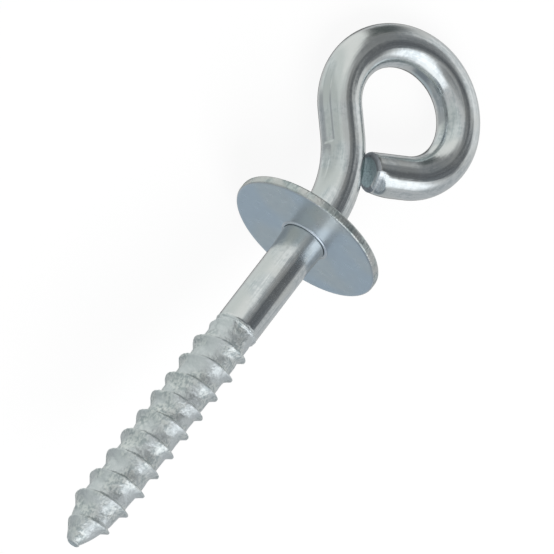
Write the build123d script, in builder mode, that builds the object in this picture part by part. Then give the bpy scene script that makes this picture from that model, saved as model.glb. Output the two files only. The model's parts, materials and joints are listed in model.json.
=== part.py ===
"""A screw eye with a collar: a wire bent into an eye and rolled with a wood thread, and a stamped disc.

The screw is drawn about the Z axis, eye up and point down, with the collar's seating face at Z = 0 and the
eye's wire in the XZ plane. At the end both pieces are laid down as they come to rest on a table, on the
collar's rim and the far end of the eye. All sizes are in millimetres and all angles in degrees.
"""

import os
from math import asin, atan2, ceil, cos, degrees, radians, sin, sqrt

from build123d import *

# The wire, and the eye bent from it: a neck, a crank to one side, a bow of three arcs and a short straight
# whose cut end stops short of the crank's side
wire_dia = 6.5
neck_height = 3.95
crank_radius = 17.8
crank_turn = 45.0
crank_run = 3.8
rising_bow_radius = 9.3
rising_bow_turn = 81.1
crown_bow_radius = 10.5
crown_bow_turn = 116.6
falling_bow_radius = 8.9
falling_bow_turn = 79.4
end_gap = 1.2249

# The wire's cut end, where the shears drew its outer side inwards and left the face leaning
shear_length = 4.0
shear_draw = 0.6
shear_lean = 7.0
shear_sections = 5
end_edge_round = 0.3

# The shank, and the upset shoulder with a 45 degree edge that the collar's countersunk bore sits on
shank_length = 17.6
shoulder_dia = 6.95
shoulder_length = 5.0

# The collar, a stamped disc pressed on the shank
collar_dia = 23.7
collar_thickness = 1.38
collar_rim_round = 0.32
collar_bore_clearance = 0.03
countersink_gap = 0.045

# The thread: a rounded ridge on a straight core, rolled by dies that let it wander a little in each turn
pitch = 3.6
thread_dia = 7.85
root_dia = 6.1
ridge_base = 1.6
ridge_crest = 0.5
ridge_crown = 0.1
ridge_sink = 0.25
ridge_wander = 0.27
ridge_wander_angle = 163.0
thread_start_angle = 268.0
run_in_turns = 1.6
run_out_turns = 2.5
core_step = 0.7
stations_per_turn = 8

# The point, a blunt ogive that the ridge fades out on
thread_length = 39.8
point_length = 8.0
point_flat_dia = 1.5
point_edge_round = 0.35
ridge_stop = 1.0

# Finding how it lies: how often its tilt and roll are corrected, and the small turn that tries them
settling_steps = 12
small_turn = 1e-5  # radians

wire_r = wire_dia / 2
shoulder_r = shoulder_dia / 2
collar_r = collar_dia / 2
bore_r = wire_r + collar_bore_clearance
root_r = root_dia / 2
ridge_height = thread_dia / 2 - root_r
flank_slope = (ridge_base - ridge_crest) / 2 / (ridge_height - ridge_crown)
thread_top = -shank_length
tip = thread_top - thread_length
thread_turns = (thread_length - ridge_stop) / pitch
point_top = tip + point_length
point_drop = root_r - point_flat_dia / 2
ogive_radius = (point_length**2 + point_drop**2) / (2 * point_drop)
ogive_turn = degrees(asin(point_length / ogive_radius))


def core_radius(z):
    """The radius of the thread's core at height z: the root cylinder, then the ogive tangent to it."""
    if z >= point_top:
        return root_r
    return root_r - ogive_radius + sqrt(ogive_radius**2 - (point_top - z) ** 2)


def ridge_rise(turn):
    """How far the ridge stands out of the core: it rises out of the shank and fades towards the point."""
    short_of_full = max(1 - turn / run_in_turns, 0)
    faded = max(1 - (thread_turns - turn) / run_out_turns, 0)
    share = min(1 - short_of_full**3, 1 - faded**2)
    return (ridge_height + ridge_crown) * share - ridge_crown


def thread_stretch(first_turn, last_turn):
    """One stretch of the right-handed ridge, lofted through sections in planes that hold the axis."""
    steps = max(ceil((last_turn - first_turn) * stations_per_turn), 2)
    with BuildPart() as stretch:
        for step in range(steps + 1):
            turn = first_turn + (last_turn - first_turn) * step / steps
            angle = radians(thread_start_angle - 360 * turn)
            wander = ridge_wander * cos(angle - radians(ridge_wander_angle))
            z = thread_top - pitch * turn + wander
            rise = ridge_rise(turn)
            crest_r = core_radius(z) + rise
            flank_r = crest_r - ridge_crown
            crest_half = ridge_crest / 2
            base_half = crest_half + flank_slope * (rise - ridge_crown + ridge_sink)
            base_r = core_radius(z - base_half) - ridge_sink
            outward = (cos(angle), sin(angle), 0)
            across = (sin(angle), -cos(angle), 0)
            with BuildSketch(Plane(origin=(0, 0, 0), x_dir=outward, z_dir=across)):
                with BuildLine():
                    ThreePointArc((flank_r, z - crest_half), (crest_r, z), (flank_r, z + crest_half))
                    Polyline(
                        (flank_r, z + crest_half),
                        (base_r, z + base_half),
                        (base_r, z - base_half),
                        (flank_r, z - crest_half),
                    )
                make_face()
        loft()
    return stretch.part


stretches = ceil(thread_turns)
stretch_turns = thread_turns / stretches
ridge = [thread_stretch(stretch_turns * i, stretch_turns * (i + 1)) for i in range(stretches)]

# The screw eye in one piece: the bent wire, its sheared end, the shank and point, and the thread's ridge
with BuildPart() as eye_screw:
    with BuildLine(Plane.XZ) as centre_line:
        neck = Line((0, 0), (0, neck_height))
        crank = JernArc(neck @ 1, neck % 1, crank_radius, crank_turn)
        run = Line(crank @ 1, crank @ 1 + (crank % 1) * crank_run)
        rising_bow = JernArc(run @ 1, run % 1, rising_bow_radius, -rising_bow_turn)
        crown_bow = JernArc(rising_bow @ 1, rising_bow % 1, crown_bow_radius, -crown_bow_turn)
        falling_bow = JernArc(crown_bow @ 1, crown_bow % 1, falling_bow_radius, -falling_bow_turn)
        from_crank = falling_bow @ 1 - crank.arc_center
        ahead = -from_crank.dot(falling_bow % 1)
        reach = ahead - sqrt(ahead**2 - from_crank.length**2 + (crank_radius + wire_r) ** 2)
        end_run = reach - end_gap - shear_length
        straight = Line(falling_bow @ 1, falling_bow @ 1 + (falling_bow % 1) * end_run)
    with BuildSketch(Plane.XY):
        Circle(wire_r)
    sweep(path=centre_line.wire())

    along = straight % 1
    inward = Vector(0, 1, 0).cross(along)
    for section in range(shear_sections):
        share = section / (shear_sections - 1)
        drawn = shear_draw * share**2
        across = Plane(origin=straight @ 1 + along * shear_length * share, x_dir=inward, z_dir=along)
        with BuildSketch(across.rotated((0, -shear_lean * share, 0))):
            with Locations((drawn / 2, 0)):
                Ellipse(wire_r - drawn / 2, wire_r)
    loft()
    end_face = eye_screw.faces().sort_by_distance(straight @ 1 + along * shear_length)[0]
    fillet(end_face.edges(), end_edge_round)

    with BuildSketch(Plane.XZ):
        with BuildLine():
            Polyline((0, tip), (0, shoulder_r), (shoulder_r, 0))
            TangentArc((wire_r, -shoulder_length), (shoulder_r, 0), tangent=(0, 1))
            Polyline((wire_r, -shoulder_length), (wire_r, thread_top), (root_r, thread_top - core_step))
            Line((root_r, thread_top - core_step), (root_r, point_top))
            ogive = JernArc((root_r, point_top), (0, -1), ogive_radius, -ogive_turn)
            Line(ogive @ 1, (0, tip))
        make_face()
    revolve(axis=Axis.Z)
    fillet(eye_screw.faces().sort_by(Axis.Z)[0].edges(), point_edge_round)
    add(ridge)

# The collar: a disc with its rim rounded by the stamping and its bore countersunk over the shoulder's edge
with BuildPart() as collar_disc:
    with BuildSketch(Plane.XY):
        Circle(collar_r)
        Circle(bore_r, mode=Mode.SUBTRACT)
    extrude(amount=collar_thickness)
    rings = collar_disc.edges().filter_by(GeomType.CIRCLE).group_by(SortBy.RADIUS)
    fillet(rings[-1], collar_rim_round)
    chamfer(rings[0].sort_by(Axis.Z)[0], shoulder_r + countersink_gap - bore_r)

# How it lies: on the lower edge of the collar's rim and the far end of the eye, its weight over the two
weight = (
    eye_screw.part.center(CenterOf.MASS) * eye_screw.part.volume
    + collar_disc.part.center(CenterOf.MASS) * collar_disc.part.volume
) / (eye_screw.part.volume + collar_disc.part.volume)
rim_centre_z = collar_thickness - collar_rim_round
rim_centre_drop = collar_r - collar_rim_round


def unrest(tilt, roll):
    """The way down, how much lower the eye reaches than the rim, and how far the weight is off their line."""
    down = Vector(cos(tilt) * sin(roll), cos(tilt) * cos(roll), sin(tilt))
    below_axis = Vector(down.X, down.Y, 0).normalized()
    below_crown = Vector(down.X, 0, down.Z).normalized()
    rim = Vector(0, 0, rim_centre_z) + below_axis * rim_centre_drop + down * collar_rim_round
    eye = crown_bow.arc_center + below_crown * crown_bow_radius + down * wire_r
    span = eye - rim
    return down, span.dot(down), span.cross(weight - rim).dot(down) / span.length


tilt = atan2(collar_r, crown_bow.arc_center.Z)
roll = 0.0
for step in range(settling_steps):
    down, drop, lean = unrest(tilt, roll)
    tilted = unrest(tilt + small_turn, roll)
    rolled = unrest(tilt, roll + small_turn)
    drop_by_tilt = (tilted[1] - drop) / small_turn
    lean_by_tilt = (tilted[2] - lean) / small_turn
    drop_by_roll = (rolled[1] - drop) / small_turn
    lean_by_roll = (rolled[2] - lean) / small_turn
    scale = drop_by_tilt * lean_by_roll - drop_by_roll * lean_by_tilt
    tilt -= (drop * lean_by_roll - lean * drop_by_roll) / scale
    roll -= (lean * drop_by_tilt - drop * lean_by_tilt) / scale
table = Plane(origin=(0, 0, 0), x_dir=Vector(0, 0, 1) - down * down.Z, z_dir=-down)

os.makedirs("parts", exist_ok=True)
for name, piece in (("eye_screw", eye_screw), ("collar_disc", collar_disc)):
    laid = table.to_local_coords(piece.part)
    laid.label = name
    export_step(laid, f"parts/{name}.step")
    print(name, round(laid.volume, 1), "mm3", laid.bounding_box())
print("tilt and roll", round(degrees(tilt), 4), round(degrees(roll), 4))
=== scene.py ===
"""Visual model of a zinc-plated screw eye: a wire bent into an eye and rolled with a thread, and a collar.

The wire is one closed surface. Its sections are carried along the wire's centre line, from the blunt point
up the thread and the shank, through the collar and round the eye to the sheared end. Lengths are in
millimetres in the screw's own axes (+Z from the point to the eye, the eye in the XZ plane, the collar's seat
at Z = 0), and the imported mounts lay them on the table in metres.
"""

import json
import logging
import math
from dataclasses import dataclass
from enum import Enum

import bpy
import numpy as np
from mathutils import Matrix, Vector


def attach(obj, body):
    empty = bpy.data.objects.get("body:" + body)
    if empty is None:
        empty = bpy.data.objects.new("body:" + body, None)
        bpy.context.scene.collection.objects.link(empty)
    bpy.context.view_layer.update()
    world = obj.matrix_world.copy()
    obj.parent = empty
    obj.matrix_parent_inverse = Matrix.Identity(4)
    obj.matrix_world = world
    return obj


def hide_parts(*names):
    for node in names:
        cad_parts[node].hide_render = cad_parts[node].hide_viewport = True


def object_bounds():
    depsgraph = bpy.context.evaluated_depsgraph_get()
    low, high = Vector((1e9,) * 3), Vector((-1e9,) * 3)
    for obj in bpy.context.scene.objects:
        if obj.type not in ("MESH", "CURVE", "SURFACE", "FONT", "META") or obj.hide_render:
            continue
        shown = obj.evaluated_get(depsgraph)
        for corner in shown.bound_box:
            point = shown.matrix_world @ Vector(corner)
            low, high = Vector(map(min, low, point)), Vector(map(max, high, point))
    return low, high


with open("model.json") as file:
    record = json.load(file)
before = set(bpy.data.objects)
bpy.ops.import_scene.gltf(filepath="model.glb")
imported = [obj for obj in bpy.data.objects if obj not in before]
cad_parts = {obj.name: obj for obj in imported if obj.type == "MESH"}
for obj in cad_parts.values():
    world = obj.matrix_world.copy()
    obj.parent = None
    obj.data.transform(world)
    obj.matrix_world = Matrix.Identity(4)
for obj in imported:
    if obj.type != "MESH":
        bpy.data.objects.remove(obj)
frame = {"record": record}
CAD_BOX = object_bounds()
MM = 0.001
AS_MADE = "as_made"
LATTICE_ROWS = 512  # how many rows of random heights there are before they repeat
log = logging.getLogger("screw_eye")


# ---------------------------------------------------------------- small tools


def linear(hex_colour: str) -> tuple[float, float, float, float]:
    """Turns an sRGB hex colour into Blender's linear one.

    Args:
        hex_colour: six hex digits, such as "C5CBCB".

    Returns:
        Red, green, blue and an alpha of 1.
    """
    channels = [int(hex_colour[i : i + 2], 16) / 255 for i in (0, 2, 4)]
    red, green, blue = [c / 12.92 if c <= 0.04045 else ((c + 0.055) / 1.055) ** 2.4 for c in channels]
    return (red, green, blue, 1.0)


def smoothstep(x: np.ndarray) -> np.ndarray:
    """Rises from 0 to 1 as x does, with level ends: 3x^2 - 2x^3."""
    x = np.clip(x, 0.0, 1.0)
    return x * x * (3 - 2 * x)


def soft_max(a: np.ndarray, b: np.ndarray, blend: float) -> np.ndarray:
    """The larger of a and b, plus blend / 4 times (1 - gap / blend)^2 where their gap is under blend."""
    return np.maximum(a, b) + blend / 4 * np.maximum(1 - np.abs(a - b) / blend, 0.0) ** 2


def cloudy(u: np.ndarray, v: np.ndarray, seed: int, columns: int) -> np.ndarray:
    """Smooth random bumps between -1 and 1 on a lattice of unit cells.

    Each cell's corners have a random height, and between them the height follows a smooth step along u and
    one along v. The lattice repeats after `columns` cells of v.

    Args:
        u: place along the surface, in cells.
        v: place around the surface, in cells.
        seed: which random heights to use.
        columns: how many cells go once around.

    Returns:
        The heights, in the shape of u and v.
    """
    heights = np.random.default_rng(seed).uniform(-1, 1, (LATTICE_ROWS, columns))
    row, column = np.floor(u).astype(int), np.floor(v).astype(int)
    across, around = smoothstep(u - row), smoothstep(v - column)
    near, far = (
        heights[line % LATTICE_ROWS, column % columns] * (1 - around)
        + heights[line % LATTICE_ROWS, (column + 1) % columns] * around
        for line in (row, row + 1)
    )
    return near * (1 - across) + far * across


def add_node(tree: bpy.types.NodeTree, kind: str, settings: dict, links: dict) -> bpy.types.Node:
    """Adds a node with its settings and links.

    Args:
        tree: the node tree that gets it.
        kind: the node's type name without "ShaderNode".
        settings: attribute or input name to value; an input can also be given by its number.
        links: input name or number to the output socket that feeds it.

    Returns:
        The new node.
    """
    node = tree.nodes.new("ShaderNode" + kind)
    for name, value in settings.items():
        if isinstance(name, str) and hasattr(node, name):
            setattr(node, name, value)
        else:
            node.inputs[name].default_value = value
    for name, socket in links.items():
        tree.links.new(socket, node.inputs[name])
    return node


def grid_faces(rows: int, columns: int, closed_rows: bool) -> np.ndarray:
    """Quads over a grid of rows that each close on themselves, pointing outwards for counter-clockwise rows.

    Args:
        rows: how many rows of points.
        columns: how many points a row has.
        closed_rows: whether the last row also joins the first one.

    Returns:
        Four point numbers for each quad.
    """
    gaps = rows if closed_rows else rows - 1
    row, column = np.meshgrid(np.arange(gaps), np.arange(columns), indexing="ij")
    above, beside = (row + 1) % rows, (column + 1) % columns
    here, over = row * columns, above * columns
    corners = (here + column, here + beside, over + beside, over + column)
    return np.stack(corners, axis=-1).reshape(-1, 4)


def keep_as_made(mesh: bpy.types.Mesh, places: np.ndarray) -> None:
    """Stores each vertex's place before bending, in millimetres, as the attribute that the finishes read."""
    attribute = mesh.attributes.new(AS_MADE, "FLOAT_VECTOR", "POINT")
    attribute.data.foreach_set("vector", places.astype(np.float32).ravel())


def way_to(bearing: float, rise: float) -> Vector:
    """The unit way from the part at a bearing from +X towards +Y and a rise over the table, in degrees."""
    aside, up = math.radians(bearing), math.radians(rise)
    return Vector((math.cos(up) * math.cos(aside), math.cos(up) * math.sin(aside), math.sin(up)))


# ---------------------------------------------------------------- how it lies on the table


@dataclass
class Lying:
    """How the screw's own axes lie on the table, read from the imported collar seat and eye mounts."""

    seat_mount: str = "collar_seat"
    eye_mount: str = "eye"

    def turn(self) -> np.ndarray:
        """The turn from the screw's axes to the table's.

        Returns:
            A 3 by 3 array, whose columns are the screw's X, Y and Z.
        """
        mounts = {mount["name"]: mount for mount in frame["record"]["mounts"]}
        screw_z = -np.array(mounts[self.seat_mount]["axis"], float)
        screw_y = -np.array(mounts[self.eye_mount]["axis"], float)
        screw_x = np.cross(screw_y, screw_z)
        return np.stack([screw_x, screw_y, screw_z], axis=1)

    def place(self, points: np.ndarray) -> np.ndarray:
        """Points in the screw's axes, in millimetres, as metres on the table."""
        return points @ self.turn().T * MM


# ---------------------------------------------------------------- finishes


class Slot(Enum):
    """The record's material slots."""

    WIRE = "zinc_plated_wire"
    DISC = "zinc_plated_disc"


# The noise levels between which the tint turns to flecks and to stains, and the gloss falls
FLECKS_BETWEEN = (0.85, 1.2)
STAINS_BETWEEN = (0.4, 0.6)
GLOSS_BETWEEN = (0.3, 0.7)


@dataclass(frozen=True)
class ZincFinish:
    """Bright zinc plating, blue passivated, on steel: a pale metal whose gloss depends on the steel under it.

    Patterns read the attribute as_made: the place on the wire before it was bent, or on the disc, in
    millimetres. Lengths that end in _mm are the patterns' real sizes.
    """

    name: str
    colour: str
    grain_colour: str
    stain_colour: str
    roughness: float
    rough_spread: float
    grain_mm: float
    grain_bump_mm: float
    stain_mm: float
    line_mm: float
    line_length_mm: float
    line_bump_mm: float

    def build(self) -> bpy.types.Material:
        """Makes the material.

        A fine noise is the grain, and a noise drawn out along the wire gives the lines. Where their sum is
        high the tint turns to the grain's, in flecks. A wide noise stains the tint. The grain also varies
        the gloss, and the grain and the lines both raise the surface.

        Returns:
            The material.
        """
        material = bpy.data.materials.new(self.name)
        material.use_nodes = True
        tree = material.node_tree
        tree.nodes.clear()
        place = add_node(tree, "Attribute", {"attribute_name": AS_MADE}, {}).outputs["Vector"]
        grain = add_node(tree, "TexNoise", {"Scale": 1 / self.grain_mm, "Detail": 4.0}, {"Vector": place})
        stain = add_node(tree, "TexNoise", {"Scale": 1 / self.stain_mm, "Detail": 1.0}, {"Vector": place})
        drawn_out = (1 / self.line_mm, 1 / self.line_mm, 1 / self.line_length_mm)
        along = add_node(tree, "VectorMath", {"operation": "MULTIPLY", 1: drawn_out}, {0: place})
        lines = add_node(tree, "TexNoise", {"Scale": 1.0, "Detail": 2.0}, {"Vector": along.outputs[0]})
        both = add_node(
            tree, "Math", {"operation": "ADD"}, {0: grain.outputs["Fac"], 1: lines.outputs["Fac"]}
        )
        flecks = add_node(
            tree,
            "MapRange",
            {
                "interpolation_type": "SMOOTHSTEP",
                "From Min": FLECKS_BETWEEN[0],
                "From Max": FLECKS_BETWEEN[1],
            },
            {"Value": both.outputs[0]},
        )
        grained = add_node(
            tree,
            "Mix",
            {"data_type": "RGBA", 6: linear(self.colour), 7: linear(self.grain_colour)},
            {0: flecks.outputs["Result"]},
        )
        share = add_node(
            tree,
            "MapRange",
            {
                "interpolation_type": "SMOOTHSTEP",
                "From Min": STAINS_BETWEEN[0],
                "From Max": STAINS_BETWEEN[1],
            },
            {"Value": stain.outputs["Fac"]},
        )
        stained = add_node(
            tree,
            "Mix",
            {"data_type": "RGBA", 7: linear(self.stain_colour)},
            {0: share.outputs["Result"], 6: grained.outputs[2]},
        )
        gloss = add_node(
            tree,
            "MapRange",
            {
                "From Min": GLOSS_BETWEEN[0],
                "From Max": GLOSS_BETWEEN[1],
                "To Min": self.roughness - self.rough_spread,
                "To Max": self.roughness + self.rough_spread,
            },
            {"Value": grain.outputs["Fac"]},
        )
        relief = add_node(
            tree, "Math", {"operation": "MULTIPLY", 1: self.line_bump_mm}, {0: lines.outputs["Fac"]}
        )
        height = add_node(
            tree,
            "Math",
            {"operation": "MULTIPLY_ADD", 1: self.grain_bump_mm},
            {0: grain.outputs["Fac"], 2: relief.outputs[0]},
        )
        bump = add_node(tree, "Bump", {"Strength": 1.0, "Distance": MM}, {"Height": height.outputs[0]})
        shader = add_node(
            tree,
            "BsdfPrincipled",
            {"Metallic": 1.0},
            {
                "Base Color": stained.outputs[2],
                "Roughness": gloss.outputs["Result"],
                "Normal": bump.outputs["Normal"],
            },
        )
        add_node(tree, "OutputMaterial", {}, {"Surface": shader.outputs["BSDF"]})
        return material


# Smooth from the drawing die, with faint lines along it.
DRAWN_WIRE = ZincFinish(
    "zinc_plated_drawn_wire", "D0D5D6", "BCC3C5", "CBCFCE", 0.17, 0.05, 0.7, 0.01, 5.0, 0.28, 7.0, 0.014
)
# Matt and dented from the rolling dies and the plating barrel.
ROLLED_THREAD = ZincFinish(
    "zinc_plated_rolled_thread", "D8DDDB", "B0B9BA", "CCD2D3", 0.45, 0.12, 0.6, 0.14, 3.0, 0.3, 0.5, 0.04
)
# Cut by the shears, so it is dull and a little darker.
SHEARED_END = ZincFinish(
    "zinc_plated_sheared_steel", "B2C6CA", "98ACB2", "B6C6CA", 0.5, 0.08, 0.5, 0.04, 2.0, 0.3, 2.5, 0.07
)
# Rolled over by the shears before they tore through.
BURNISHED_EDGE = ZincFinish(
    "zinc_plated_burnished_edge", "A3A8AE", "90959B", "AAAEB3", 0.6, 0.06, 0.5, 0.05, 2.0, 0.3, 1.0, 0.03
)
# The last of the wire to tear, left ragged and bright.
TORN_LIP = ZincFinish(
    "zinc_plated_torn_lip", "E0E4E5", "B9C0C2", "D6DBDD", 0.36, 0.08, 1.1, 0.14, 2.0, 0.5, 1.2, 0.05
)
# Flattened sheet, nearly as bright as a mirror, that the passivation tints here and there.
STAMPED_DISC = ZincFinish(
    "zinc_plated_stamped_disc", "CCD1D3", "C9CFD2", "C5CFD8", 0.3, 0.04, 1.5, 0.006, 9.0, 1.0, 4.0, 0.004
)
# The disc's cut edge: burnished where the punch entered and torn below.
STAMPED_RIM = ZincFinish(
    "zinc_plated_cut_rim", "B9C2C1", "96A1A2", "C2C5C3", 0.34, 0.08, 0.7, 0.08, 2.5, 0.35, 0.9, 0.08
)


# ---------------------------------------------------------------- the wire


class Zone(Enum):
    """Where each finish is on the wire, as its place in the mesh's list of materials."""

    WIRE = 0
    THREAD = 1
    EDGE = 2
    FACE = 3
    TORN = 4


WIRE_FINISHES = {
    Zone.WIRE: DRAWN_WIRE,
    Zone.THREAD: ROLLED_THREAD,
    Zone.EDGE: BURNISHED_EDGE,
    Zone.FACE: SHEARED_END,
    Zone.TORN: TORN_LIP,
}


@dataclass(frozen=True)
class ToolMark:
    """A flat that a tool pressed into the wire or tore from it: steep along one edge, easing to the other.

    Its depth is the product of smooth steps over the edge, the width, and both ends along the wire. Places
    along the wire are in millimetres from the seat, runs in millimetres, and angles in degrees around the
    wire. The gentle side rises over `easing` of the width.
    """

    start: float
    end: float
    edge_angle: float
    wide: float
    depth: float
    start_run: float
    end_run: float
    edge_run: float = 5.0
    easing: float = 0.7

    def depth_at(self, along: np.ndarray, angle: np.ndarray) -> np.ndarray:
        """How deep the mark is.

        Args:
            along: distance along the wire from the seat, in millimetres.
            angle: angle around the wire, in degrees.

        Returns:
            The depth in millimetres, in the shape of both.
        """
        steep = smoothstep((self.edge_angle + self.edge_run / 2 - angle) / self.edge_run)
        gentle = smoothstep((angle - self.edge_angle + self.wide) / (self.wide * self.easing))
        begun = smoothstep((along - self.start) / self.start_run)
        lengthwise = begun * smoothstep((self.end - along) / self.end_run)
        return self.depth * steep * gentle * lengthwise


# The bending tool's long crease, the step that hooks its lower end, the crease below it, and the cut end's
# torn side.
TOOL_MARKS = (
    ToolMark(16.4, 29.0, 215, 26, 0.2, 0.35, 6.0),
    ToolMark(16.2, 17.4, 214, 46, 0.12, 0.3, 0.9),
    ToolMark(7.5, 16.0, 205, 24, 0.14, 5.0, 0.7),
    ToolMark(73.1, 80.0, 248, 98, 1.1, 2.4, 1.0, 46.0),
)


@dataclass
class WireScrew:
    """The one-piece wire: blunt point, rolled thread, shank, shoulder, cranked neck, eye and sheared end.

    The cut end is torn at one side, the thread's ridge wanders between the dies that rolled it, and a ragged
    lip stands where the dies began. Lengths are in millimetres and angles in degrees.
    """

    wire_dia: float = 6.5
    neck_height: float = 3.95
    crank_radius: float = 17.8
    crank_turn: float = 45.0
    crank_run: float = 3.8
    rising_bow_radius: float = 9.3
    rising_bow_turn: float = 81.1
    crown_bow_radius: float = 10.5
    crown_bow_turn: float = 116.6
    falling_bow_radius: float = 8.9
    falling_bow_turn: float = 79.4
    end_run: float = 2.3
    shear_length: float = 4.0
    shear_draw: float = 0.6
    shear_lean: float = 7.0
    end_edge_round: float = 0.55
    torn_length: float = 0.9
    torn_angles: tuple[float, float] = (190.0, 262.0)
    shank_length: float = 17.6
    shoulder_dia: float = 6.95
    shoulder_length: float = 5.0
    pitch: float = 3.6
    thread_dia: float = 7.85
    root_dia: float = 6.1
    ridge_crest: float = 0.16
    point_flank: float = 1.0
    flank_change: float = 0.25
    die_flank: float = 1.2
    die_drop: float = 0.16
    eye_flank: float = 0.42
    flank_hollow: float = 1.3
    ridge_sink: float = 0.1
    ridge_wander: float = 0.23
    ridge_wander_angle: float = 163.0
    end_lag: float = 0.4
    thread_start_angle: float = 270.0
    run_in_turns: float = 1.3
    run_out_turns: float = 1.3
    tip_bend: float = 0.15
    tip_bend_length: float = 12.0
    core_step: float = 0.7
    thread_length: float = 39.8
    ridge_stop: float = 1.5
    point_length: float = 8.0
    point_flat_dia: float = 1.5
    point_edge_round: float = 0.35
    root_blend: float = 0.18
    ragged_crest: float = 0.07
    ragged_cell: float = 1.6
    ragged_seed: int = 5
    dents: tuple[tuple[float, float], ...] = ((1.8, 0.07), (0.85, 0.045))
    dent_seed: int = 21
    rough_start: float = 4.0
    start_dents: float = 1.7
    calm_tip: float = 5.0
    foot_depth: float = 0.3
    lip_height: float = 0.11
    lip_length: float = 0.45
    lip_cells: int = 24
    lip_seed: int = 7
    flat_rings: int = 4
    tip_edge_rings: int = 7
    edge_rings: int = 6
    face_rings: int = 10
    around: int = 128
    thread_step: float = 0.12
    plain_step: float = 0.29
    path_step: float = 0.05

    def __post_init__(self) -> None:
        """Works out the radii and levels that the surfaces share."""
        self.wire_r = self.wire_dia / 2
        self.root_r = self.root_dia / 2
        self.thread_top = -self.shank_length
        self.tip = self.thread_top - self.thread_length
        self.ridge_height = self.thread_dia / 2 - self.root_r
        self.thread_turns = (self.thread_length - self.ridge_stop) / self.pitch
        self.angles = np.arange(self.around) * 2 * math.pi / self.around
        bends = (
            (self.neck_height, 0.0),
            (self.crank_radius * math.radians(self.crank_turn), self.crank_turn),
            (self.crank_run, 0.0),
            (self.rising_bow_radius * math.radians(self.rising_bow_turn), -self.rising_bow_turn),
            (self.crown_bow_radius * math.radians(self.crown_bow_turn), -self.crown_bow_turn),
            (self.falling_bow_radius * math.radians(self.falling_bow_turn), -self.falling_bow_turn),
            (self.end_run + self.shear_length, 0.0),
        )
        self.path_at = np.cumsum([0.0] + [length for length, _ in bends])
        self.path_heading = np.cumsum([0.0] + [math.radians(turn) for _, turn in bends])
        self.path_length = float(self.path_at[-1])

    def centre_line(self, along: np.ndarray) -> tuple[np.ndarray, np.ndarray, np.ndarray]:
        """The wire's centre line above the seat.

        The heading leans evenly along each arc, so it is straight between the bends' ends. The place is the
        running sum of short steps along the mean heading.

        Args:
            along: distance along the wire from the seat, in millimetres.

        Returns:
            X and Z of the centre line, and its heading in radians from +Z towards -X.
        """
        fine = np.linspace(0, self.path_length, int(self.path_length / self.path_step) + 1)
        heading = np.interp(fine, self.path_at, self.path_heading)
        mean = (heading[1:] + heading[:-1]) / 2
        x = np.interp(along, fine, np.concatenate([[0.0], np.cumsum(-np.sin(mean) * np.diff(fine))]))
        z = np.interp(along, fine, np.concatenate([[0.0], np.cumsum(np.cos(mean) * np.diff(fine))]))
        return x, z, np.interp(along, self.path_at, self.path_heading)

    def core_radius(self, z: np.ndarray) -> np.ndarray:
        """The thread's core: the root radius, then an ogive, whose arc leaves the root tangentially.

        Args:
            z: height in the screw's axes.

        Returns:
            The core's radius at each height.
        """
        point_top = self.tip + self.point_length
        drop = self.root_r - self.point_flat_dia / 2
        ogive = (self.point_length**2 + drop**2) / (2 * drop)
        depth = np.maximum(point_top - z, 0.0)
        return self.root_r - ogive + np.sqrt(ogive**2 - depth**2)

    def ridge_rise(self, turn: np.ndarray) -> np.ndarray:
        """How far the ridge stands out of the core, rising as a cube out of the shank and fading as a square.

        Where it is tall its crest is a little ragged.

        Args:
            turn: turns down the thread from its start.

        Returns:
            The crest's height over the core; under 0 where the ridge is sunk in it.
        """
        short_of_full = np.maximum(1 - turn / self.run_in_turns, 0.0)
        faded = np.maximum(1 - (self.thread_turns - turn) / self.run_out_turns, 0.0)
        share = np.minimum(1 - short_of_full**3, 1 - faded**2)
        cells = np.maximum(turn, 0.0) * 2 * math.pi * self.root_r / self.ragged_cell
        ragged = self.ragged_crest * cloudy(cells, np.zeros_like(turn), self.ragged_seed, 1)
        return (self.ridge_height + self.ridge_sink + ragged) * share - self.ridge_sink

    def dented(self, z: np.ndarray, angle: np.ndarray) -> np.ndarray:
        """Dents of two sizes from the dies and the plating barrel.

        They are deeper where the thread leaves the shank, and fade out towards the tip.

        Args:
            z: height in the screw's axes.
            angle: angle around the axis from +X, in radians.

        Returns:
            How far the dents move each point outwards.
        """
        near_start = smoothstep((z - self.thread_top + self.rough_start) / self.rough_start)
        change = np.zeros_like(z)
        for seed, (cell, depth) in enumerate(self.dents, self.dent_seed):
            columns = round(2 * math.pi * self.root_r / cell)
            change += depth * cloudy((z - self.tip) / cell, angle / (2 * math.pi) * columns, seed, columns)
        return change * (1 + self.start_dents * near_start) * smoothstep((z - self.tip) / self.calm_tip)

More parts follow.
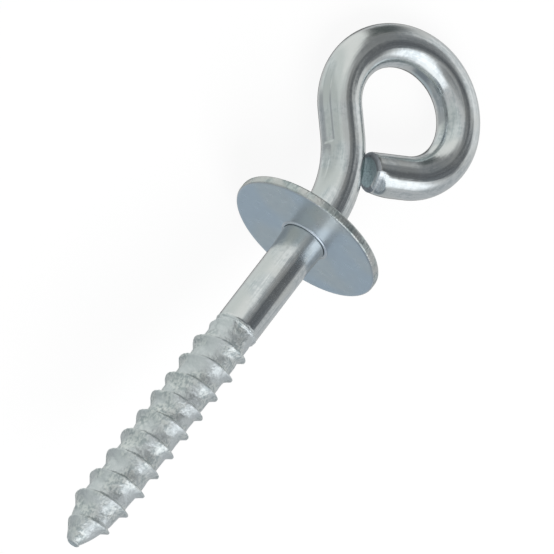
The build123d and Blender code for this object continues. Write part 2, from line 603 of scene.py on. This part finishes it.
    def thread_radius(self, z: np.ndarray, angle: np.ndarray) -> np.ndarray:
        """The threaded part's radius: the core, or the ridge over it, blended softly.

        The ridge's crest is at thread_top - pitch * turn + wander, where turn is the start angle less the
        angle, in turns, plus a whole number. The crest wanders as a cosine around the axis, and lags by up to
        end_lag at both ends of the thread. Its section falls as a hollow curve, steep towards the eye and
        long towards the point. On the dies' faces the long flank is longer still and the crest a little
        lower, and it is full and sharp where the dies part. The tip bends a little to the side.

        Args:
            z: height in the screw's axes.
            angle: angle around the axis from +X, in radians.

        Returns:
            The radius at each point.
        """
        aside = np.cos(angle - math.radians(self.ridge_wander_angle))
        from_middle = np.cos((self.thread_top - z) / self.thread_length * math.pi) ** 2
        wander = self.ridge_wander * aside - self.end_lag * from_middle * (1 + aside) / 2
        on_die = 1 - aside**2
        point_flank = self.point_flank * (1 + self.flank_change * aside) + self.die_flank * on_die
        first = (math.radians(self.thread_start_angle) - angle) / (2 * math.pi)
        level = (self.thread_top + wander - z) / self.pitch
        ridge = np.zeros_like(z)
        for neighbour in (-1, 0, 1):
            turn = first + np.round(level - first) + neighbour
            past = (level - turn) * self.pitch
            flank = np.where(past > 0, point_flank, self.eye_flank)
            left = np.maximum(1 - np.maximum(np.abs(past) - self.ridge_crest / 2, 0.0) / flank, 0.0)
            on_thread = (turn > 0) & (turn < self.thread_turns)
            rise = (self.ridge_rise(turn) - self.die_drop * on_die) * left**self.flank_hollow
            ridge = np.maximum(ridge, np.where(on_thread, self.core_radius(z) + rise, 0.0))
        near_tip = smoothstep((self.tip + self.tip_bend_length - z) / (self.tip_bend_length / 2))
        bent = self.tip_bend * aside * near_tip
        return soft_max(self.core_radius(z), ridge, self.root_blend) + self.dented(z, angle) + bent

    def round_rings(self, z: np.ndarray, radius: np.ndarray) -> np.ndarray:
        """Rings about the screw's own axis.

        Args:
            z: height of each ring, or of each point.
            radius: radius of each point.

        Returns:
            One ring of points for each row of the radius.
        """
        x = radius * np.cos(self.angles)
        y = radius * np.sin(self.angles)
        return np.stack([x, y, np.broadcast_to(z, x.shape)], axis=-1)

    def point_rings(self) -> np.ndarray:
        """The blunt tip: rings that grow from the flat's middle and turn the edge by a quarter circle.

        Returns:
            The tip's rings, from the axis outwards.
        """
        edge = self.point_edge_round
        flat_r = self.core_radius(np.array([self.tip + edge]))[0] - edge
        turn = np.linspace(0, math.pi / 2, self.tip_edge_rings + 1)[1:-1]
        z = np.concatenate([np.full(self.flat_rings, self.tip), self.tip + edge * (1 - np.cos(turn))])
        flat = np.linspace(0, flat_r, self.flat_rings + 1)[1:]
        radius = np.concatenate([flat, flat_r + edge * np.sin(turn)])
        return self.round_rings(z[:, None], np.repeat(radius[:, None], self.around, axis=1))

    def thread_rings(self) -> np.ndarray:
        """The threaded part, from above the tip's round edge to the foot of the shank.

        Under the shank the core widens along a smooth step, and a ragged lip stands at the step's top and
        falls off evenly to both sides. What stands further out shows: that foot with its lip, or the thread.

        Returns:
            The thread's rings, from the tip up.
        """
        low, high = self.tip + self.point_edge_round, self.thread_top
        z = np.linspace(low, high, int((high - low) / self.thread_step))[:, None]
        z, angle = np.broadcast_arrays(z, self.angles[None, :])
        radius = self.thread_radius(z, angle)
        step = smoothstep((z - (self.thread_top - self.core_step)) / self.core_step)
        cells = angle / (2 * math.pi) * self.lip_cells
        ragged = cloudy(cells, np.zeros_like(angle), self.lip_seed, 1)
        near_lip = np.maximum(1 - np.abs(self.thread_top - z) / self.lip_length, 0.0)
        rise = (self.wire_r - self.root_r + self.foot_depth) * step - self.foot_depth
        shank_foot = self.core_radius(z) + rise + self.lip_height * (1 + ragged) * near_lip
        return self.round_rings(z, np.maximum(radius, shank_foot))

    def shank_rings(self) -> np.ndarray:
        """The plain shank and its upset shoulder, which swells as a square towards the collar's seat.

        Returns:
            The shank's rings, from the thread up.
        """
        z = np.arange(self.thread_top + self.plain_step, 0, self.plain_step)[:, None]
        swell = np.clip((z + self.shoulder_length) / self.shoulder_length, 0.0, 1.0) ** 2
        radius = self.wire_r + (self.shoulder_dia / 2 - self.wire_r) * swell
        return self.round_rings(z, np.repeat(radius, self.around, axis=1))

    def section_rings(self, along: np.ndarray, offset: np.ndarray, shrink: np.ndarray) -> np.ndarray:
        """Sections of the bent wire, which the shears drew in and leaned over near the cut end.

        Each is an ellipse across the wire. Its side towards the bow's outside is drawn in as the square of
        the way along the sheared part, its plane leans in step, and the tools' marks are taken off its
        radius.

        Args:
            along: where each section is, in millimetres along the wire from the seat.
            offset: how far each section is pushed on along the wire, past `along`.
            shrink: how much smaller each section's radius is.

        Returns:
            One ring of points for each section.
        """
        x, z, heading = self.centre_line(along)
        share = np.clip((along - (self.path_length - self.shear_length)) / self.shear_length, 0.0, 1.0)
        drawn = self.shear_draw * share**2
        lean = np.radians(self.shear_lean * share)
        inward = np.stack([np.cos(heading), np.zeros_like(heading), np.sin(heading)], axis=-1)
        onward = np.stack([-np.sin(heading), np.zeros_like(heading), np.cos(heading)], axis=-1)
        around = np.degrees(self.angles)[None, :]
        pressed = sum(mark.depth_at(along[:, None], around) for mark in TOOL_MARKS)
        pressed = pressed * (1 - shrink / self.wire_r)[:, None]
        leaning = inward * np.cos(lean)[:, None] + onward * np.sin(lean)[:, None]
        facing = onward * np.cos(lean)[:, None] - inward * np.sin(lean)[:, None]
        inward_r = (self.wire_r - drawn / 2 - shrink)[:, None] - pressed
        reach = inward_r * np.cos(self.angles) + (drawn / 2)[:, None]
        side = ((self.wire_r - shrink)[:, None] - pressed) * np.sin(self.angles)
        centre = np.stack([x, np.zeros_like(x), z], axis=-1) + facing * offset[:, None]
        sideways = side[..., None] * np.array([0.0, 1.0, 0.0])
        return centre[:, None, :] + leaning[:, None, :] * reach[..., None] + sideways

    def eye_rings(self) -> np.ndarray:
        """The neck, crank and bow, from the seat to where the cut edge starts to turn over."""
        rings = int(self.path_length / self.plain_step)
        along = np.linspace(0, self.path_length - self.end_edge_round, rings)
        return self.section_rings(along, np.zeros_like(along), np.zeros_like(along))

    def end_rings(self) -> np.ndarray:
        """The cut end: the edge turned over by a quarter circle, then rings that close the face.

        Returns:
            The end's rings, from the edge to the face's middle.
        """
        edge = self.end_edge_round
        turn = np.linspace(0, math.pi / 2, self.edge_rings + 1)[1:]
        face = np.linspace(1, 0, self.face_rings + 2)[1:-1]
        ahead = np.concatenate([edge * np.sin(turn), np.full(face.size, edge)])
        shrink = np.concatenate([edge * (1 - np.cos(turn)), self.wire_r - (self.wire_r - edge) * face])
        along = np.full(ahead.size, self.path_length - edge)
        return self.section_rings(along, ahead, shrink)

    def straightened(self, rings: np.ndarray, bent: int) -> np.ndarray:
        """Each point's place on the wire before it was bent.

        Below the seat that is the point itself. Above it, the height is the distance along the wire, and the
        point is as far from the axis as it is from its ring's middle.

        Args:
            rings: all rings of points.
            bent: how many of the last rings are above the seat.

        Returns:
            One place for each point of the rings, then one for each end's middle.
        """
        made = rings.copy()
        middle = rings[-bent:].mean(axis=1)
        steps = np.linalg.norm(np.diff(middle, axis=0, prepend=middle[:1]), axis=-1)
        across = np.linalg.norm(rings[-bent:] - middle[:, None, :], axis=-1)
        made[-bent:, :, 0] = across * np.cos(self.angles)
        made[-bent:, :, 1] = across * np.sin(self.angles)
        made[-bent:, :, 2] = np.cumsum(steps)[:, None]
        ends = np.array([[0.0, 0.0, self.tip], [0.0, 0.0, steps.sum()]])
        return np.concatenate([made.reshape(-1, 3), ends])

    def zones(self, rings: int, thread_rows: int, edge_rows: int) -> np.ndarray:
        """Which finish each face has: the thread's, the plain wire's, the turned edge's or the cut face's.

        A patch of the last wire and its edge, between two angles, is torn.

        Args:
            rings: how many rings the wire has.
            thread_rows: how many rows of faces the point and the thread have.
            edge_rows: how many rows of faces there are before the turned edge.

        Returns:
            One Zone value for each face: row by row, then the fans at the tip and at the cut end.
        """
        row = np.concatenate([np.repeat(np.arange(rings - 1), self.around), np.zeros(self.around, int)])
        row = np.concatenate([row, np.full(self.around, rings)])
        starts = np.array([thread_rows, edge_rows, edge_rows + self.edge_rings])
        upwards = np.array([zone.value for zone in (Zone.THREAD, Zone.WIRE, Zone.EDGE, Zone.FACE)])
        zones = upwards[np.searchsorted(starts, row, side="right")]
        first_torn = edge_rows - round(self.torn_length / self.plain_step)
        angle = np.degrees(self.angles)[np.arange(row.size) % self.around]
        in_reach = (row >= first_torn) & (row < edge_rows + self.edge_rings)
        zones[in_reach & (angle > self.torn_angles[0]) & (angle < self.torn_angles[1])] = Zone.TORN.value
        return zones

    def build(self, lying: Lying) -> bpy.types.Object:
        """Makes the wire's closed surface and dresses it.

        The stretches' rings follow each other from the tip to the cut end, and a fan closes each end.

        Args:
            lying: how the screw lies on the table.

        Returns:
            The wire's object.
        """
        stretches = [
            self.point_rings(),
            self.thread_rings(),
            self.shank_rings(),
            self.eye_rings(),
            self.end_rings(),
        ]
        point, thread, _, eye, end = (len(stretch) for stretch in stretches)
        rings = np.concatenate(stretches)
        first, last = len(rings) * self.around, len(rings) * self.around + 1
        points = np.concatenate([rings.reshape(-1, 3), [[0.0, 0.0, self.tip]], [rings[-1].mean(axis=0)]])
        quads = grid_faces(len(rings), self.around, closed_rows=False)
        column = np.arange(self.around)
        beside = (column + 1) % self.around
        top = (len(rings) - 1) * self.around
        bottom_fan = np.stack([np.full(self.around, first), beside, column], axis=-1)
        top_fan = np.stack([np.full(self.around, last), top + column, top + beside], axis=-1)
        faces = quads.tolist() + bottom_fan.tolist() + top_fan.tolist()
        mesh = bpy.data.meshes.new("wire_screw")
        mesh.from_pydata(lying.place(points).tolist(), [], faces)
        keep_as_made(mesh, self.straightened(rings, eye + end))
        for zone in Zone:
            mesh.materials.append(WIRE_FINISHES[zone].build())
        zones = self.zones(len(rings), point + thread, len(rings) - end)
        mesh.polygons.foreach_set("material_index", zones)
        mesh.polygons.foreach_set("use_smooth", np.ones(len(mesh.polygons), bool))
        piece = bpy.data.objects.new("wire_screw", mesh)
        bpy.context.scene.collection.objects.link(piece)
        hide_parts("eye_screw")
        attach(piece, "root")
        return piece


# ---------------------------------------------------------------- the collar


@dataclass
class CollarDisc:
    """The collar: a stamped disc with its rim rounded and a narrow lip turned down around its bore.

    Lengths are in millimetres and the lip's lean, where its arc starts, in degrees from +X.
    """

    dia: float = 23.7
    thickness: float = 1.38
    rim_round: float = 0.32
    bore_dia: float = 6.56
    countersink_dia: float = 7.0
    lip_start_dia: float = 6.955
    lip_round: float = 0.19
    lip_lean: float = 252.0
    dish: float = 0.06
    dish_run: float = 2.0
    edge_steps: int = 8
    face_steps: int = 24
    around: int = 256

    def outline(self) -> np.ndarray:
        """The disc's half section, counter-clockwise from the lip around the bore.

        The lip is an arc that leaves the shoulder nearly level, the rim's corners are quarter circles, and
        the seating face is dished as the square of the radius.

        Returns:
            The radius and height of each point.
        """
        rim_r = self.dia / 2 - self.rim_round
        inner, bore, lip_start = self.countersink_dia / 2, self.bore_dia / 2, self.lip_start_dia / 2
        lip_turn = np.linspace(math.radians(self.lip_lean), 2 * math.pi, self.edge_steps)
        lip_end = lip_start + (1 - math.cos(lip_turn[0])) * self.lip_round
        lip = np.stack([np.cos(lip_turn), np.sin(lip_turn)], axis=-1) * self.lip_round
        lip = lip + [lip_end - self.lip_round, 0.0]
        out = np.linspace(lip_end, rim_r, self.face_steps)[1:-1]
        dished = self.dish * (1 - (out / rim_r) ** 2) * smoothstep((out - lip_end) / self.dish_run)
        seat = np.stack([out, dished], axis=-1)
        turn = np.linspace(-math.pi / 2, 0, self.edge_steps)
        corner_r = rim_r + self.rim_round * np.cos(turn)
        low = np.stack([corner_r, self.rim_round + self.rim_round * np.sin(turn)], axis=-1)
        high = low[::-1] * [1, -1] + [0, self.thickness]
        back = np.linspace(rim_r, bore, self.face_steps)[1:]
        top = np.stack([back, np.full_like(back, self.thickness)], axis=-1)
        countersink = np.array([[bore, inner - bore], [lip_start, 0.0]])
        return np.concatenate([lip, seat, low, high, top, countersink])

    def build(self, lying: Lying) -> bpy.types.Object:
        """Makes the disc's closed surface, its half section carried once around the axis, and dresses it.

        Args:
            lying: how the screw lies on the table.

        Returns:
            The collar's object.
        """
        outline = self.outline()
        angle = -np.arange(self.around) * 2 * math.pi / self.around
        radius, height = outline[:, 0][:, None], outline[:, 1][:, None]
        x, y = radius * np.cos(angle), radius * np.sin(angle)
        points = np.stack([x, y, np.broadcast_to(height, x.shape)], axis=-1).transpose(1, 0, 2).reshape(-1, 3)
        mesh = bpy.data.meshes.new("collar")
        faces = grid_faces(self.around, len(outline), closed_rows=True)
        mesh.from_pydata(lying.place(points).tolist(), [], faces.tolist())
        keep_as_made(mesh, points)
        for finish in (STAMPED_DISC, STAMPED_RIM):
            mesh.materials.append(finish.build())
        on_rim = outline[:, 0] > self.dia / 2 - self.rim_round / 2
        mesh.polygons.foreach_set("material_index", np.tile(on_rim, self.around).astype(int))
        mesh.polygons.foreach_set("use_smooth", np.ones(len(mesh.polygons), bool))
        piece = bpy.data.objects.new("collar", mesh)
        bpy.context.scene.collection.objects.link(piece)
        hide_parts("collar_disc")
        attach(piece, "root")
        return piece


# ---------------------------------------------------------------- studio


@dataclass(frozen=True)
class StudioCard:
    """A soft-edged light box or grey card around the table, which the bright metal mirrors.

    Its place is the way to it from the part: a bearing from +X towards +Y and a rise over the table. These,
    its half width and half height, and the width of its soft edge are in degrees.
    """

    name: str
    bearing: float
    rise: float
    half_wide: float
    half_high: float
    edge: float
    light: float
    colour: str

    def lay_over(
        self,
        tree: bpy.types.NodeTree,
        way: tuple[bpy.types.NodeSocket, bpy.types.NodeSocket],
        below: bpy.types.NodeSocket,
    ) -> bpy.types.NodeSocket:
        """Lays the card over what is seen so far.

        Its mask is a smooth step across its width times one up its height.

        Args:
            tree: the world's node tree.
            way: the bearing and the rise of the way looked, in degrees.
            below: the colour seen so far.

        Returns:
            The colour with this card over it.
        """
        off_bearing = add_node(tree, "Math", {"operation": "SUBTRACT", 1: self.bearing}, {0: way[0]})
        wrapped = add_node(
            tree, "Math", {"operation": "WRAP", 1: 180.0, 2: -180.0}, {0: off_bearing.outputs[0]}
        )
        aside = add_node(tree, "Math", {"operation": "ABSOLUTE"}, {0: wrapped.outputs[0]})
        off_rise = add_node(tree, "Math", {"operation": "SUBTRACT", 1: self.rise}, {0: way[1]})
        above = add_node(tree, "Math", {"operation": "ABSOLUTE"}, {0: off_rise.outputs[0]})
        masks = [
            add_node(
                tree,
                "MapRange",
                {
                    "interpolation_type": "SMOOTHSTEP",
                    "From Min": half + self.edge / 2,
                    "From Max": half - self.edge / 2,
                },
                {"Value": off.outputs[0]},
            )
            for half, off in ((self.half_wide, aside), (self.half_high, above))
        ]
        mask = add_node(
            tree,
            "Math",
            {"operation": "MULTIPLY"},
            {0: masks[0].outputs["Result"], 1: masks[1].outputs["Result"]},
        )
        glow = tuple(channel * self.light for channel in linear(self.colour)[:3]) + (1.0,)
        mix = add_node(tree, "Mix", {"data_type": "RGBA", 7: glow}, {0: mask.outputs[0], 6: below})
        return mix.outputs[2]


STUDIO_CARDS = (
    StudioCard("shade under the part", 302, -78, 90, 22, 18, 0.16, "FFFFFF"),
    StudioCard("white side wall", 78, -2, 40, 62, 12, 0.86, "FBFFFD"),
    StudioCard("sunlit edge of the side wall", 51, 0, 14, 50, 14, 1.02, "FFFFFD"),
    StudioCard("side wall's far end", 112, 10, 22, 44, 16, 0.68, "FAFFFD"),
    StudioCard("table's near edge", 132, -38, 15, 28, 14, 0.5, "F8FCFF"),
    StudioCard("grey table", 186, -15, 44, 38, 22, 0.47, "F2F8FC"),
    StudioCard("blue cloth", 208, -8, 17, 30, 16, 0.33, "E6F2FF"),
    StudioCard("pale tray", 207, -52, 26, 13, 10, 0.66, "E2EFF7"),
    StudioCard("far wall", 262, -15, 32, 35, 20, 0.62, "FAFCFF"),
    StudioCard("window side wall", 332, 1, 25, 29, 12, 0.92, "FFFFFF"),
    StudioCard("bright window", 335, 16, 11, 11, 8, 1.05, "FFFFFF"),
    StudioCard("doorway", 22, -6, 15, 34, 12, 0.31, "FFFFFF"),
    StudioCard("dark of the doorway", 24, -9, 11, 22, 12, 0.14, "F4FFFF"),
    StudioCard("door's lintel", 6, 33, 24, 15, 12, 0.29, "FAFCFF"),
    StudioCard("ceiling", 90, 90, 95, 15, 10, 0.42, "FFFFFF"),
    StudioCard("ceiling beyond", 270, 90, 90, 16, 10, 0.32, "FFFFFF"),
    StudioCard("ceiling edge", 340, 60, 36, 12, 16, 0.29, "FFFFFF"),
    StudioCard("light box", 222, 44, 58, 20, 16, 1.55, "FAFCFF"),
    StudioCard("light box top", 245, 56, 42, 15, 14, 1.7, "FAFCFF"),
    StudioCard("camera stand", 313, 40, 18, 19, 12, 0.2, "F4F8FF"),
    StudioCard("camera", 334, 51, 17, 11, 12, 0.16, "F4F8FF"),
)


@dataclass
class Studio:
    """The plain pale floor, the soft lamp, the white surroundings and the camera, in metres and degrees."""

    floor_size: float = 3.0
    target: tuple[float, float, float] = (-0.00713, 0.00014, 0.00235)
    distance: float = 0.4559
    bearing: float = 122.21
    elevation: float = 68.14
    roll: float = 101.9
    lens: float = 208.3
    sensor: float = 36.0
    clip: tuple[float, float] = (0.01, 100.0)
    floor_colour: str = "F7F7F7"
    floor_glow: float = 0.9
    room_light: float = 0.69
    fill_light: float = 0.6
    lamp_bearing: float = 225.0
    lamp_rise: float = 55.0
    lamp_distance: float = 1.0
    lamp_size: float = 0.8
    lamp_power: float = 8.0

    def floor(self) -> None:
        """A white floor at the height that the part stands on.

        The camera sees it mostly glowing, under a soft shadow. The metal doesn't mirror it, and mirrors the
        studio's cards instead.
        """
        low = CAD_BOX[0][2]
        half = self.floor_size / 2
        corners = [(x * half, y * half, low) for x, y in ((-1, -1), (1, -1), (1, 1), (-1, 1))]
        mesh = bpy.data.meshes.new("floor")
        mesh.from_pydata(corners, [], [(0, 1, 2, 3)])
        material = bpy.data.materials.new("white_floor")
        material.use_nodes = True
        tree = material.node_tree
        tree.nodes.clear()
        path = add_node(tree, "LightPath", {}, {})
        share = add_node(
            tree, "Math", {"operation": "MULTIPLY", 1: self.floor_glow}, {0: path.outputs["Is Camera Ray"]}
        )
        plain = add_node(tree, "BsdfDiffuse", {"Color": linear(self.floor_colour)}, {})
        glow = add_node(tree, "Emission", {"Color": (1, 1, 1, 1), "Strength": 1.0}, {})
        mix = add_node(
            tree,
            "MixShader",
            {},
            {0: share.outputs[0], 1: plain.outputs["BSDF"], 2: glow.outputs["Emission"]},
        )
        add_node(tree, "OutputMaterial", {}, {"Surface": mix.outputs["Shader"]})
        mesh.materials.append(material)
        piece = bpy.data.objects.new("floor", mesh)
        bpy.context.scene.collection.objects.link(piece)
        piece.visible_glossy = False

    def world(self) -> None:
        """White behind the part, the studio's cards in its gloss, and a plain white light on what is matt.

        The ways looked are turned to a bearing and a rise, and each card is laid over the ones before it.
        """
        world = bpy.data.worlds.new("studio")
        bpy.context.scene.world = world
        world.cycles.sampling_method = "NONE"
        world.use_nodes = True
        tree = world.node_tree
        tree.nodes.clear()
        look = add_node(tree, "TexCoord", {}, {})
        parts = add_node(tree, "SeparateXYZ", {}, {0: look.outputs["Generated"]})
        around = add_node(
            tree, "Math", {"operation": "ARCTAN2"}, {0: parts.outputs["Y"], 1: parts.outputs["X"]}
        )
        up = add_node(tree, "Math", {"operation": "ARCSINE"}, {0: parts.outputs["Z"]})
        way = tuple(
            add_node(tree, "Math", {"operation": "DEGREES"}, {0: turn.outputs[0]}).outputs[0]
            for turn in (around, up)
        )
        seen = add_node(tree, "RGB", {}, {})
        seen.outputs[0].default_value = (self.room_light, self.room_light, self.room_light, 1.0)
        colour = seen.outputs[0]
        for card in STUDIO_CARDS:
            colour = card.lay_over(tree, way, colour)
        path = add_node(tree, "LightPath", {}, {})
        backdrop = add_node(
            tree,
            "Math",
            {"operation": "MAXIMUM"},
            {0: path.outputs["Is Camera Ray"], 1: path.outputs["Is Transmission Ray"]},
        )
        cards = add_node(tree, "Background", {"Strength": 1.0}, {"Color": colour})
        white = add_node(tree, "Background", {"Color": (1, 1, 1, 1), "Strength": 1.0}, {})
        fill = add_node(tree, "Background", {"Color": (1, 1, 1, 1), "Strength": self.fill_light}, {})
        matt = add_node(
            tree, "MixShader", {}, {0: backdrop.outputs[0], 1: fill.outputs[0], 2: white.outputs[0]}
        )
        mix = add_node(
            tree, "MixShader", {}, {0: path.outputs["Is Glossy Ray"], 1: matt.outputs[0], 2: cards.outputs[0]}
        )
        add_node(tree, "OutputWorld", {}, {"Surface": mix.outputs[0]})

    def lamp(self) -> None:
        """One large soft lamp from the light box's side; the metal mirrors the box's card instead of it."""
        data = bpy.data.lights.new("soft_box", "AREA")
        data.shape = "DISK"
        data.size = self.lamp_size
        data.energy = self.lamp_power
        piece = bpy.data.objects.new("soft_box", data)
        way = way_to(self.lamp_bearing, self.lamp_rise)
        turn = way.to_track_quat("Z", "Y").to_matrix().to_4x4()
        piece.matrix_world = Matrix.Translation(way * self.lamp_distance) @ turn
        piece.visible_glossy = False
        bpy.context.scene.collection.objects.link(piece)

    def camera(self) -> None:
        """The camera, looking down on the part from its bearing and elevation, rolled about its own axis."""
        data = bpy.data.cameras.new("camera")
        data.lens = self.lens
        data.sensor_width = self.sensor
        data.clip_start, data.clip_end = self.clip
        piece = bpy.data.objects.new("camera", data)
        back = way_to(self.bearing, self.elevation)
        upright = back.to_track_quat("Z", "Y").to_matrix().to_4x4()
        turn = upright @ Matrix.Rotation(math.radians(self.roll), 4, "Z")
        piece.matrix_world = Matrix.Translation(Vector(self.target) + back * self.distance) @ turn
        bpy.context.scene.collection.objects.link(piece)
        bpy.context.scene.camera = piece

    def build(self) -> None:
        """Sets up the studio."""
        self.floor()
        self.world()
        self.lamp()
        self.camera()
        bpy.context.scene.view_settings.view_transform = "Standard"


def main() -> None:
    """Builds each piece in order and reports it."""
    logging.basicConfig(level=logging.INFO, format="%(message)s")
    lying = Lying()
    for maker in (WireScrew(), CollarDisc()):
        piece = maker.build(lying)
        log.info("%s: %d faces", piece.name, len(piece.data.polygons))
    Studio().build()
    log.info("studio set up")


if __name__ == "__main__":
    main()
